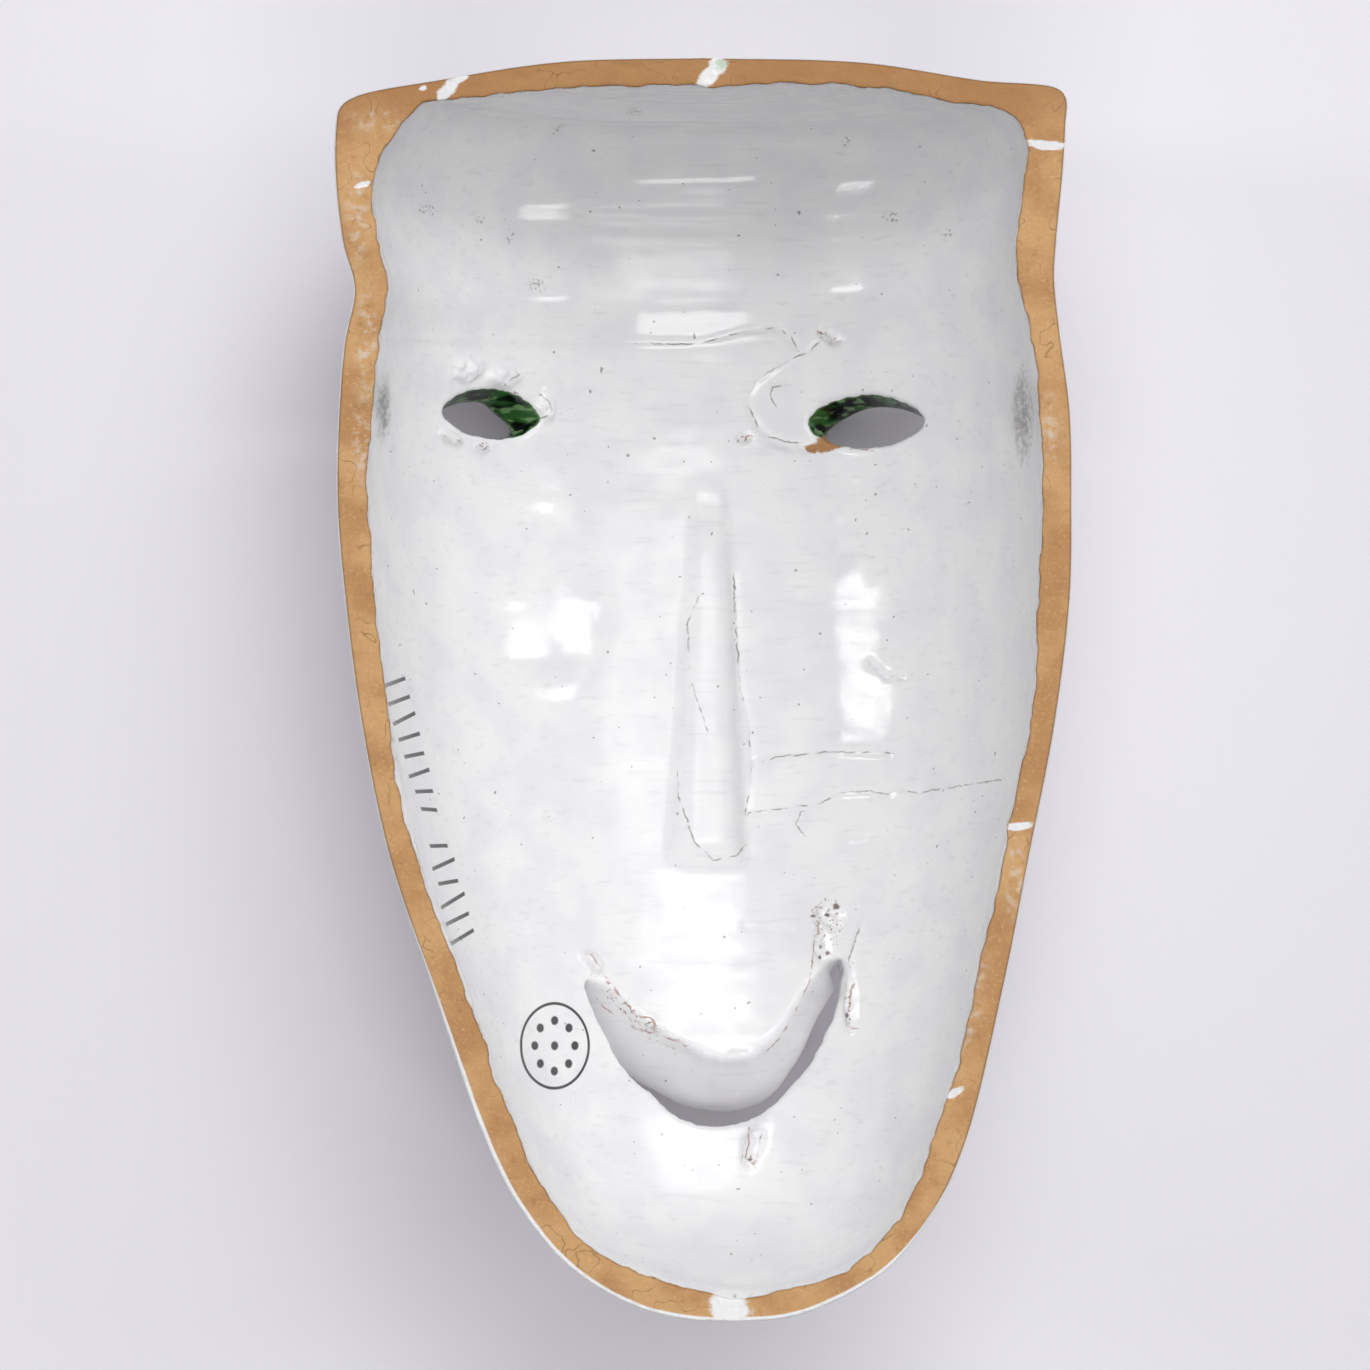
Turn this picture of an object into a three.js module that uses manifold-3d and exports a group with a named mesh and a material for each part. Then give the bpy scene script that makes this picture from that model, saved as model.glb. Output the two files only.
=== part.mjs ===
// Ceramic wall mask: half of a thrown pot, closed by a chin below and by the pot's
// floor above the brow, with two eye holes, a long nose and a smiling mouth cut through.
// It lies on its face. +Y is towards the crown, +Z out of the open back, in millimetres.
import * as THREE from 'three';
import Module from 'manifold-3d';

// Driving dimensions
const REST_DEPTH = 101;         // from the rim plane down to the flat on the nose
const OUTER_ROUNDNESS = 0.97;   // depth of the outside in the middle, over its half width
const INNER_ROUNDNESS = 0.97;
const RIM_CLEARANCE = 6;        // how far the hollow's cutter reaches above the rim
const OUTER_COLUMNS = 36;       // facets across the outside, from rim to rim
const INNER_COLUMNS = 32;

// The rim seen from the back, from the middle of the crown down to the chin.
// Each station is [left x, left y, right x, right y], and each stretch between two
// stations has its number of rows of facets, most of them at the mouth.
const OUTER_EDGE = [
  [-0.5, 165.0, -0.5, 165.0],
  [-37.5, 164.0, 41.5, 163.8],
  [-69.0, 159.3, 72.0, 159.2],
  [-91.5, 154.8, 92.3, 157.0],
  [-95.4, 151.8, 94.6, 154.3],
  [-96.4, 146.0, 94.4, 147.0],
  [-96.5, 134.5, 93.7, 135.0],
  [-94.5, 116.5, 92.0, 117.0],
  [-91.5, 104.5, 91.5, 107.5],
  [-94.0, 91.0, 93.0, 92.5],
  [-95.5, 73.0, 95.5, 73.0],
  [-96.0, 49.5, 96.0, 48.0],
  [-94.0, 24.5, 95.5, 23.5],
  [-89.5, -9.5, 91.5, -9.5],
  [-82.5, -43.0, 85.0, -43.0],
  [-71.5, -76.0, 78.5, -76.0],
  [-57.0, -118.0, 68.3, -118.0],
  [-48.0, -135.5, 60.3, -135.5],
  [-34.5, -151.3, 47.5, -151.5],
  [-17.5, -161.3, 29.0, -161.8],
  [-3.0, -164.6, 19.0, -164.4],
  [8.0, -165.0, 8.0, -165.0],
];
const OUTER_ROWS = [3, 3, 3, 2, 1, 2, 3, 2, 2, 3, 4, 3, 4, 5, 6, 11, 5, 4, 3, 2, 2];
const INNER_EDGE = [
  [-0.5, 157.2, -0.5, 157.2],
  [-37.5, 156.8, 42.0, 157.0],
  [-63.0, 153.8, 63.2, 153.8],
  [-74.0, 152.8, 75.3, 152.4],
  [-79.0, 147.0, 81.2, 148.3],
  [-84.4, 138.7, 84.0, 142.0],
  [-86.9, 129.0, 82.9, 131.0],
  [-84.6, 115.5, 81.7, 116.0],
  [-82.0, 105.0, 82.0, 106.0],
  [-84.6, 91.0, 84.4, 93.0],
  [-87.0, 73.0, 87.0, 73.5],
  [-88.0, 49.5, 88.0, 49.5],
  [-86.0, 24.5, 87.5, 23.5],
  [-82.5, -8.5, 85.0, -9.5],
  [-74.5, -44.5, 77.5, -44.5],
  [-62.5, -77.0, 71.0, -77.0],
  [-48.5, -117.5, 59.0, -118.5],
  [-34.5, -141.3, 46.5, -143.0],
  [-17.5, -151.5, 31.0, -153.6],
  [-3.0, -156.6, 17.0, -157.6],
  [7.0, -158.6, 7.0, -158.6],
];
const INNER_ROWS = [3, 2, 1, 1, 2, 2, 2, 2, 2, 2, 3, 3, 4, 4, 4, 7, 4, 2, 2, 2];

// Nose: a ridge along the outside with a flat to lie on, and the trough behind it
const NOSE = {
  x: 3.5, root: 84, bridge: 46, tip: -46, under: -61,
  flatHalf: 10.5, slope: 1.1, spread: 40, blend: 5,
};
const TROUGH = {
  x: 2.5, root: 62, end: -48, rootHalf: 5, endHalf: 11, rootDepth: 1.5, endDepth: 7,
};

// Soft swellings of the face: centre, half sizes and height, on the outside
const SWELLINGS = [
  { x: -52, y: 96, rx: 30, ry: 13, rise: 4.5 },
  { x: 50, y: 96, rx: 30, ry: 13, rise: 4.5 },
  { x: -46, y: 8, rx: 34, ry: 42, rise: 4 },
  { x: 50, y: 6, rx: 34, ry: 42, rise: 4 },
  { x: 6, y: -146, rx: 26, ry: 16, rise: 3.5 },
];

// Eye holes as seen on the inside: centre, half length, height above and below the middle
const EYES = [
  { x: -57.6, y: 75, half: 13.1, above: 7.2, below: 6.2, tilt: -0.02, way: [-0.62, -0.34] },
  { x: 44.5, y: 73.5, half: 16, above: 7.6, below: 7, tilt: -0.02, way: [0.58, -0.32] },
];
const EYE_POINTS = 20;

// Mouth as seen on the inside: its lower edge from left to right, its upper one back
const MOUTH_LOWER = [
  [-32, -79], [-27, -92.5], [-22, -101.5], [-15.5, -108.5], [-5, -117], [8, -118],
  [19.5, -111.5], [29, -100.5], [35.5, -87.5], [38, -76],
];
const MOUTH_UPPER = [
  [37.5, -73], [33.5, -74.5], [27, -82.5], [21, -92.5], [13, -100], [2, -100.5],
  [-6, -96.5], [-17, -88.5], [-24, -81], [-32, -76.5],
];
// The cut flares as it goes down: sideways travel for each millimetre of depth
const FLARE = {
  x: 3, left: 0.05, right: 0.027, cornerY: -78, corner: -0.3, middleY: -102, middle: -1.18,
};
const LIP = { rise: 8, reach: 15, depth: 14 };
const CUT_ABOVE = 8;             // a cutter starts this far inside the hollow
const CUT_DEPTH = 32;            // and reaches this far down

const GLAZE_WHITE = new THREE.MeshStandardMaterial({
  color: 0xecebea, roughness: 0.12, metalness: 0,
});

const wasm = await Module();
wasm.setup();

// The two halves of an edge as smooth curves through their stations
function edgeCurves(stations) {
  const side = (column) => new THREE.CatmullRomCurve3(
    stations.map((station) => new THREE.Vector3(station[column], station[column + 1], 0)),
    false, 'centripetal',
  );
  return { left: side(0), right: side(2) };
}

const OUTER = { ...edgeCurves(OUTER_EDGE), rows: OUTER_ROWS, roundness: OUTER_ROUNDNESS };
const INNER = { ...edgeCurves(INNER_EDGE), rows: INNER_ROWS, roundness: INNER_ROUNDNESS };

// One half ring of a shell across the mask, s from 0 at the crown to 1 at the chin
function ringAt(shell, s) {
  const left = shell.left.getPoint(s);
  const right = shell.right.getPoint(s);
  return {
    x: (left.x + right.x) / 2,
    y: (left.y + right.y) / 2,
    half: (right.x - left.x) / 2,
    tilt: (right.y - left.y) / 2,
    depth: shell.roundness * (right.x - left.x) / 2,
  };
}

// Depth under the rim plane of a shell's smooth form at a place seen from the back
function plainDepth(shell, x, y) {
  let low = 0;
  let high = 1;
  for (let step = 0; step < 40; step += 1) {
    const middle = (low + high) / 2;
    const ring = ringAt(shell, middle);
    const across = ring.half > 0 ? (x - ring.x) / ring.half : 0;
    if (ring.y + ring.tilt * across > y) low = middle;
    else high = middle;
  }
  const ring = ringAt(shell, (low + high) / 2);
  const across = THREE.MathUtils.clamp((x - ring.x) / ring.half, -1, 1);
  return ring.depth * Math.sqrt(1 - across * across);
}

function smoothMax(a, b, blend) {
  const overlap = Math.max(blend - Math.abs(a - b), 0) / blend;
  return Math.max(a, b) + overlap * overlap * blend / 4;
}

function swelling(x, y, { x: centreX, y: centreY, rx, ry, rise }) {
  const squared = ((x - centreX) / rx) ** 2 + ((y - centreY) / ry) ** 2;
  return squared < 1 ? rise * (1 - squared) ** 2 : 0;
}

// Distance in the plan from a place to a closed outline, zero inside it
function distanceOutside(x, y, outline) {
  let least = Infinity;
  let inside = false;
  outline.forEach(([bx, by], index) => {
    const [ax, ay] = outline.at(index - 1);
    const length = Math.hypot(bx - ax, by - ay);
    const along = ((x - ax) * (bx - ax) + (y - ay) * (by - ay)) / length ** 2;
    const t = THREE.MathUtils.clamp(along, 0, 1);
    least = Math.min(least, Math.hypot(x - ax - t * (bx - ax), y - ay - t * (by - ay)));
    const crosses = (ay > y) !== (by > y) && x < ax + (bx - ax) * (y - ay) / (by - ay);
    if (crosses) inside = !inside;
  });
  return inside ? 0 : least;
}

// Sideways travel of the mouth's cut where it starts on the inside at a place
function mouthWay([x, y]) {
  const across = (x - FLARE.x) * (x < FLARE.x ? FLARE.left : FLARE.right);
  const share = THREE.MathUtils.smoothstep(-y, -FLARE.cornerY, -FLARE.middleY);
  return [across, THREE.MathUtils.lerp(FLARE.corner, FLARE.middle, share)];
}

// The lips stand out round the place where the flaring cut leaves the outside
const MOUTH = [...MOUTH_LOWER, ...MOUTH_UPPER];
const LIP_OUTLINE = MOUTH.map((place) => {
  const way = mouthWay(place);
  return [place[0] + way[0] * LIP.depth, place[1] + way[1] * LIP.depth];
});

function lipRise(x, y) {
  const share = distanceOutside(x, y, LIP_OUTLINE) / LIP.reach;
  return share < 1 ? LIP.rise * (1 - share * share) ** 2 : 0;
}

// Depth of the nose's ridge: level along the bridge, falling away above and below it
function noseDepth(x, y, shellDepth) {
  const beside = Math.max(Math.abs(x - NOSE.x) - NOSE.flatHalf, 0);
  const above = THREE.MathUtils.smoothstep(y, NOSE.bridge, NOSE.root);
  const below = 1 - THREE.MathUtils.smoothstep(y, NOSE.under, NOSE.tip);
  const fall = Math.max(above, below) * (REST_DEPTH + 2 - shellDepth + NOSE.blend);
  return REST_DEPTH + 1 - NOSE.slope * beside - beside * beside / NOSE.spread - fall;
}

function outerDepth(x, y, plain) {
  const near = plain > 25 ? 1 : plain / 25;
  let depth = plain + near * lipRise(x, y);
  SWELLINGS.forEach((place) => { depth += near * swelling(x, y, place); });
  depth = smoothMax(depth, noseDepth(x, y, depth), NOSE.blend);
  return Math.min(depth, REST_DEPTH);
}

function innerDepth(x, y, plain) {
  const along = THREE.MathUtils.clamp((TROUGH.root - y) / (TROUGH.root - TROUGH.end), 0, 1);
  const half = THREE.MathUtils.lerp(TROUGH.rootHalf, TROUGH.endHalf, along);
  const deep = THREE.MathUtils.lerp(TROUGH.rootDepth, TROUGH.endDepth, along);
  const start = THREE.MathUtils.smoothstep(TROUGH.root - y, 0, 25);
  const end = THREE.MathUtils.smoothstep(y - TROUGH.end, -3, 6);
  const share = Math.abs(x - TROUGH.x) / half;
  const section = share < 1 ? (1 - share ** 4) ** 1.5 : 0;
  return plain + deep * start * end * section;
}

// Where the rows of facets lie along a shell, from 0 to 1
function rowPlaces(rows) {
  const places = [0];
  rows.forEach((count, stretch) => {
    for (let row = 1; row <= count; row += 1) {
      places.push((stretch + row / count) / rows.length);
    }
  });
  return places;
}

// A closed body under a shell: its half rings, capped at the rim or above it
function shellBody(shell, depthOf, columns, lift) {
  const positions = [];
  const triangles = [];
  const grid = [];
  const addPoint = (x, y, z) => positions.push(x, y, z) / 3 - 1;
  rowPlaces(shell.rows).forEach((place) => {
    const ring = ringAt(shell, place);
    if (place === 0 || place === 1) {
      const pole = addPoint(ring.x, ring.y, REST_DEPTH);
      grid.push(new Array(columns + 1).fill(pole));
      return;
    }
    const line = [];
    for (let column = 0; column <= columns; column += 1) {
      const angle = Math.PI * column / columns;
      const across = Math.cos(angle);
      const x = ring.x + ring.half * across;
      const y = ring.y + ring.tilt * across;
      const onRim = column === 0 || column === columns;
      const depth = onRim ? 0 : depthOf(x, y, ring.depth * Math.sin(angle));
      line.push(addPoint(x, y, REST_DEPTH - depth));
    }
    grid.push(line);
  });
  const addTriangle = (a, b, c) => {
    if (a !== b && b !== c && c !== a) triangles.push(a, b, c);
  };
  const apart = (a, b) => Math.hypot(
    ...[0, 1, 2].map((axis) => positions[3 * a + axis] - positions[3 * b + axis]),
  );
  for (let row = 0; row + 1 < grid.length; row += 1) {
    for (let column = 0; column < columns; column += 1) {
      const a = grid[row][column];
      const b = grid[row][column + 1];
      const c = grid[row + 1][column + 1];
      const d = grid[row + 1][column];
      if (apart(a, c) < apart(b, d)) {
        addTriangle(a, d, c);
        addTriangle(a, c, b);
      } else {
        addTriangle(a, d, b);
        addTriangle(b, d, c);
      }
    }
  }
  let loop = grid.map((line) => line[0]);
  loop = loop.concat(grid.slice(1, -1).reverse().map((line) => line[columns]));
  if (lift > 0) loop = raiseWall(positions, triangles, loop, lift);
  const outline = loop.map(
    (index) => new THREE.Vector2(positions[3 * index], positions[3 * index + 1]),
  );
  flatTriangles(outline).forEach((corners) => {
    triangles.push(...corners.map((corner) => loop[corner]));
  });
  return solidOf(positions, triangles);
}

// The triangles of a flat outline, each turned to face up
function flatTriangles(outline) {
  return THREE.ShapeUtils.triangulateShape(outline, []).map(([a, b, c]) => {
    const turned = THREE.ShapeUtils.isClockWise([outline[a], outline[b], outline[c]]);
    return turned ? [a, c, b] : [a, b, c];
  });
}

// A plain wall from a loop of points up to a copy of it, which it returns
function raiseWall(positions, triangles, loop, lift) {
  const raised = loop.map((index) => positions.push(
    positions[3 * index], positions[3 * index + 1], positions[3 * index + 2] + lift,
  ) / 3 - 1);
  loop.forEach((low, index) => {
    const next = (index + 1) % loop.length;
    triangles.push(low, raised[index], loop[next], raised[index], raised[next], loop[next]);
  });
  return raised;
}

function solidOf(positions, triangles) {
  const mesh = new wasm.Mesh({
    numProp: 3,
    vertProperties: new Float32Array(positions),
    triVerts: new Uint32Array(triangles),
  });
  return new wasm.Manifold(mesh);
}

// A prism through the wall whose outline, given anticlockwise, lies on the inside, and
// each of whose edges moves sideways by its way for each millimetre of depth
function slantedCutter(outline, wayAt) {
  const ends = [-CUT_ABOVE, CUT_DEPTH];
  const count = outline.length;
  const positions = [];
  const triangles = [];
  ends.forEach((end) => outline.forEach(([x, y]) => {
    const depth = innerDepth(x, y, plainDepth(INNER, x, y));
    const way = wayAt([x, y]);
    positions.push(x + way[0] * end, y + way[1] * end, REST_DEPTH - depth - end);
  }));
  const flat = outline.map(([x, y]) => new THREE.Vector2(x, y));
  flatTriangles(flat).forEach(([a, b, c]) => {
    triangles.push(a, b, c, count + a, count + c, count + b);
  });
  for (let index = 0; index < count; index += 1) {
    const next = (index + 1) % count;
    triangles.push(index, count + index, next, next, count + index, count + next);
  }
  return solidOf(positions, triangles);
}

function eyeOutline({ x, y, half, above, below, tilt }) {
  const points = [];
  for (let index = 0; index < EYE_POINTS; index += 1) {
    const angle = 2 * Math.PI * index / EYE_POINTS;
    const along = half * Math.cos(angle);
    const rise = Math.sin(angle) > 0 ? above : below;
    const up = rise * Math.sign(Math.sin(angle)) * Math.abs(Math.sin(angle)) ** 1.25;
    points.push([x + along - tilt * up, y + up + tilt * along]);
  }
  return points;
}

function meshOf(solid, name, material) {
  const result = solid.getMesh();
  const geometry = new THREE.BufferGeometry();
  geometry.setAttribute('position', new THREE.BufferAttribute(result.vertProperties, 3));
  geometry.setIndex(new THREE.BufferAttribute(result.triVerts, 1));
  const mesh = new THREE.Mesh(geometry, material);
  mesh.name = name;
  return mesh;
}

const outside = shellBody(OUTER, outerDepth, OUTER_COLUMNS, 0);
const hollow = shellBody(INNER, innerDepth, INNER_COLUMNS, RIM_CLEARANCE);
let shell = outside.subtract(hollow);
EYES.forEach((eye) => {
  shell = shell.subtract(slantedCutter(eyeOutline(eye), () => eye.way));
});
shell = shell.subtract(slantedCutter(MOUTH, mouthWay));

const mask = new THREE.Group();
mask.name = 'ceramic_wall_mask';
mask.add(meshOf(shell, 'mask_shell', GLAZE_WHITE));

export default mask;
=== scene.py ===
import math

import bpy
import numpy as np
from mathutils import Matrix, Vector, noise
from mathutils.geometry import delaunay_2d_cdt


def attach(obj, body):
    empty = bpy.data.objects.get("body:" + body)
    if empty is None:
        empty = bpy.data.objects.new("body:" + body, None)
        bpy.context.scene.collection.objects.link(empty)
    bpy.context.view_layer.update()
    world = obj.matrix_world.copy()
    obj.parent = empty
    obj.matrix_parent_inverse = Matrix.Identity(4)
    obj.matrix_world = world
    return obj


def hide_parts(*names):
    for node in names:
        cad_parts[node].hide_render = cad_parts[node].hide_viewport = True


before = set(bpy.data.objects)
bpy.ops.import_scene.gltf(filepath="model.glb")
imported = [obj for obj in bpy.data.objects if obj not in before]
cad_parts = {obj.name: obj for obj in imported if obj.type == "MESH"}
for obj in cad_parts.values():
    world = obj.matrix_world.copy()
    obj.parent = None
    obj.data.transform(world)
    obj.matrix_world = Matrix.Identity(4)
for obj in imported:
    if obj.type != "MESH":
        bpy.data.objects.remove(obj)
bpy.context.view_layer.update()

# Lengths are in millimetres until the mesh is made
MM = 0.001
REST_DEPTH = 101.0
ROUNDNESS = 0.97
JUST_INSIDE = 0.9999
FAR_AWAY = 1e9
PAINT_REACH = 3

# The photograph: its frame, its scale at the rim plane, and where the camera stood
FRAME_PIXELS = 1370
PLAN_SCALE = 0.2608
AXIS_PIXEL = (704.5, 689.5)
CAMERA_HEIGHT = 1300.0
SENSOR = 36.0

# Sizes of the facets
INNER_SPACING = 1.5
OUTER_SPACING = 2.3
FINE_SPACING = 0.8
RIM_SPACING = 1.15
FINE_BY_HOLE = 3.0
FINE_ASIDE = 32
FINE_LEVELS = (119, 134)
EDGE_ROW = 0.6
WALL_ROWS = 10

# How many points are compared with all others at a time, to spare memory
CHUNK = 4000

# The rim seen from the back, from the middle of the crown down to the chin.
# Each station is (left x, left y, right x, right y).
OUTER_EDGE = [
    (-0.5, 165.0, -0.5, 165.0),
    (-37.5, 164.0, 41.5, 163.8),
    (-69.0, 159.3, 72.0, 159.2),
    (-91.5, 154.8, 92.3, 157.0),
    (-95.4, 151.8, 94.6, 154.3),
    (-96.4, 146.0, 94.4, 147.0),
    (-96.5, 134.5, 93.7, 135.0),
    (-94.5, 116.5, 92.0, 117.0),
    (-91.5, 104.5, 91.5, 107.5),
    (-94.0, 91.0, 93.0, 92.5),
    (-95.5, 73.0, 95.5, 73.0),
    (-96.0, 49.5, 96.0, 48.0),
    (-94.0, 24.5, 95.5, 23.5),
    (-89.5, -9.5, 91.5, -9.5),
    (-82.5, -43.0, 85.0, -43.0),
    (-71.5, -76.0, 78.5, -76.0),
    (-57.0, -118.0, 68.3, -118.0),
    (-48.0, -135.5, 60.3, -135.5),
    (-34.5, -151.3, 47.5, -151.5),
    (-17.5, -161.3, 29.0, -161.8),
    (-3.0, -164.6, 19.0, -164.4),
    (8.0, -165.0, 8.0, -165.0),
]
INNER_EDGE = [
    (-0.5, 157.2, -0.5, 157.2),
    (-37.5, 156.8, 42.0, 157.0),
    (-63.0, 153.8, 63.2, 153.8),
    (-74.0, 152.8, 75.3, 152.4),
    (-79.0, 147.0, 81.2, 148.3),
    (-84.4, 138.7, 84.0, 142.0),
    (-86.9, 129.0, 82.9, 131.0),
    (-84.6, 115.5, 81.7, 116.0),
    (-82.0, 105.0, 82.0, 106.0),
    (-84.6, 91.0, 84.4, 93.0),
    (-87.0, 73.0, 87.0, 73.5),
    (-88.0, 49.5, 88.0, 49.5),
    (-86.0, 24.5, 87.5, 23.5),
    (-82.5, -8.5, 85.0, -9.5),
    (-74.5, -44.5, 77.5, -44.5),
    (-62.5, -77.0, 71.0, -77.0),
    (-48.5, -117.5, 59.0, -118.5),
    (-34.5, -141.3, 46.5, -143.0),
    (-17.5, -151.5, 31.0, -153.6),
    (-3.0, -156.6, 17.0, -157.6),
    (7.0, -158.6, 7.0, -158.6),
]

# Nose: a ridge along the outside with a flat to lie on, and the trough behind it
NOSE = dict(x=3.5, root=84, bridge=46, tip=-46, under=-61, flat=10.5, slope=1.1, spread=40, blend=5)
TROUGH = dict(x=2.5, root=62, end=-48, root_half=5, end_half=11, root_depth=1.5, end_depth=7)

# Soft swellings of the face on the outside: centre, half sizes and height
SWELLINGS = [
    (-52, 96, 30, 13, 4.5),
    (50, 96, 30, 13, 4.5),
    (-46, 8, 34, 42, 4),
    (50, 6, 34, 42, 4),
    (6, -146, 26, 16, 3.5),
]

# The clay is thicker behind the cheeks: centre, half sizes and height
CHEEKS = [(-45, 24, 26, 27, 2.1), (53, 12, 24, 26, 0.8)]

# Small soft swellings inside: centre, half sizes and height
SWELLINGS_INSIDE = [(-9, 60, 9, 5, 0.7), (-9, 53, 5, 4, 0.5), (-40, 22, 8, 6, -0.3),
                    (-46, 8, 8, 5, 0.4), (52, 6, 6, 6, -0.5), (52, 58, 20, 22, 1.2)]

# Eye holes on the inside: centre, half length, height above and below, and the cut's way
EYES = [
    dict(x=-57.6, y=75, half=13.1, above=7.2, below=6.2, tilt=-0.02, way=(-0.62, -0.34), thick=5),
    dict(x=44.5, y=73.5, half=16, above=7.6, below=7, tilt=-0.02, way=(0.58, -0.32), thick=1.8),
]

# Mouth on the inside: its lower edge from left to right, its upper one back
MOUTH_LOWER = [
    (-31.8, -80.4), (-27, -92.5), (-22, -101.5), (-15.5, -108.5), (-5, -117), (8, -118),
    (19.5, -111.5), (29, -100.5), (35.5, -87.5), (38, -76),
]
MOUTH_UPPER = [
    (37.5, -73), (33.5, -74.5), (27, -82.5), (21, -92.5), (13, -100), (2, -100.5),
    (-6, -96.5), (-17, -89.2), (-24, -82.6), (-31.4, -78.8),
]
MOUTH_MIDDLE = [
    (-32, -79.6), (-22, -92), (-10, -104), (5, -109), (18, -103), (28, -92), (35, -80), (38, -74),
]
FLARE = dict(x=3, left=0.05, right=0.027, corner_y=-78, corner=-0.3, middle_y=-102, middle=-1.18)
LIP = dict(rise=8, reach=15, depth=14)

# How uneven the knife left the holes' inner edges: size, height and seed
EYE_UNEVENNESS = (2.4, 0.6, 3.1)
MOUTH_UNEVENNESS = (3.0, 0.6, 7.7)

# Lines in the glaze: how high and wide each is raised, the tone of its thin crease, and the photograph's
# pixels it passes through. A crease of tone 0 is grey painted shade along a step, fold or crack, and one of
# tone 1 is brown clay showing through. A line of no height is only a crease, and one without a tone is only
# raised.
EYE_RING = [
    (818, 343), (807, 353), (795, 357), (773, 370), (759, 379), (749, 395), (748, 403), (752, 414),
    (759, 428), (771, 437), (788, 442), (813, 446),
]
LEFT_LIP = [(587, 957), (606, 978), (623, 997), (636, 1014), (650, 1020), (663, 1034)]
LINES = {
    "ring round the right eye": (0.45, 1.8, None, EYE_RING),
    "brow line, left": (0.3, 2.0, None, [
        (380, 338), (560, 341), (700, 342), (745, 330), (775, 327), (795, 345)]),
    "brow line, right": (0.3, 2.0, None, [(907, 350), (960, 352), (1015, 350)]),
    "lower ledge": (0.3, 2.2, None, [(852, 839), (930, 832), (1002, 820)]),
    "left ledge": (0.3, 2.2, None, [(448, 816), (500, 817), (542, 820)]),
    "line under the nose": (0.3, 1.8, None, [(744, 926), (790, 932)]),
    "scar beside the mouth": (1.0, 2.4, None, [(851, 964), (853, 1000), (850, 1028)]),
    "scar under the mouth": (0.9, 3.4, None, [(764, 1126), (757, 1140), (750, 1164)]),
    "glaze over the left of the mouth": (0.9, 2.6, None, [*LEFT_LIP, (686, 1046)]),
    "crease along the ring": (0, 0, 0, EYE_RING[:9]),
    "inner hook": (0, 0, 0, [(782, 386), (773, 387), (770, 395), (775, 404)]),
    "under the ring": (0, 0, 0, [(771, 437), (788, 442), (800, 443)]),
    "over the left eye": (0, 0, 0, [(483, 383), (493, 381), (500, 383), (509, 389), (518, 394)]),
    "hook over the left eye": (0, 0, 0, [(509, 380), (513, 376), (519, 374)]),
    "beside the left eye": (0, 0, 0, [(543, 397), (549, 404), (550, 409), (548, 415), (541, 418)]),
    "corner under the left eye": (0, 0, 0, [(438, 430), (441, 436), (450, 439), (459, 442)]),
    "crumbs under the left eye": (0, 0, 0, [(476, 446), (481, 443), (486, 447), (479, 450)]),
    "rim of the trough, right": (0.35, 1.8, 0, [
        (734, 578), (736, 623), (741, 690), (750, 730), (751, 780), (746, 811)]),
    "rim of the trough, left": (0, 0, 0, [(698, 598), (687, 623), (689, 663)]),
    "fold in the trough": (0, 0, 0, [(691, 683), (700, 708), (707, 730)]),
    "end of the trough": (0, 0, 0, [
        (677, 775), (678, 797), (687, 820), (694, 842), (714, 860), (736, 856), (743, 847)]),
    "upper ledge": (0.5, 1.8, 0, [(754, 764), (777, 757), (830, 752), (889, 753)]),
    "middle ledge": (0.5, 1.8, 0, [
        (750, 813), (781, 809), (821, 804), (839, 793), (871, 791), (889, 795), (898, 788), (915, 793)]),
    "drips under the ledge": (0, 0, 0, [(800, 814), (795, 824), (802, 833)]),
    "dent in the right cheek": (0.6, 1.6, 0, [(871, 663), (886, 677), (900, 677)]),
    "knife line": (0.8, 2.0, 0, [(862, 924), (855, 943), (850, 959)]),
    "brow line": (0, 0, 0, [(640, 344), (700, 344), (745, 331), (775, 328), (790, 336), (795, 346)]),
    "across the right": (0, 0, 0, [(925, 792), (960, 786), (1000, 780)]),
    "crumb over the right eye": (0, 0, 1, [(817, 332), (824, 334), (832, 340), (842, 342)]),
    "under the right eye": (0, 0, 1, [(839, 447), (867, 449), (876, 452)]),
    "crumb by the nose": (0, 0, 1, [(738, 441), (744, 437), (751, 436)]),
    "over the left of the mouth": (0, 0, 1, [*LEFT_LIP, (686, 1044)]),
    "in the left of the mouth": (0, 0, 1, [(598, 1001), (619, 1020), (638, 1029), (659, 1035)]),
    "over the right of the mouth": (0, 0, 1, [
        (762, 1054), (770, 1048), (783, 1033), (796, 1010), (810, 980), (813, 955), (819, 930), (821, 917),
        (812, 911), (818, 905)]),
    "beside the mouth": (0, 0, 1, [(851, 968), (856, 985), (852, 1010), (847, 1027), (855, 1029)]),
    "under the mouth": (0, 0, 1, [
        (750, 1128), (750, 1147), (745, 1161), (754, 1168), (760, 1155), (762, 1140)]),
}

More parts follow.
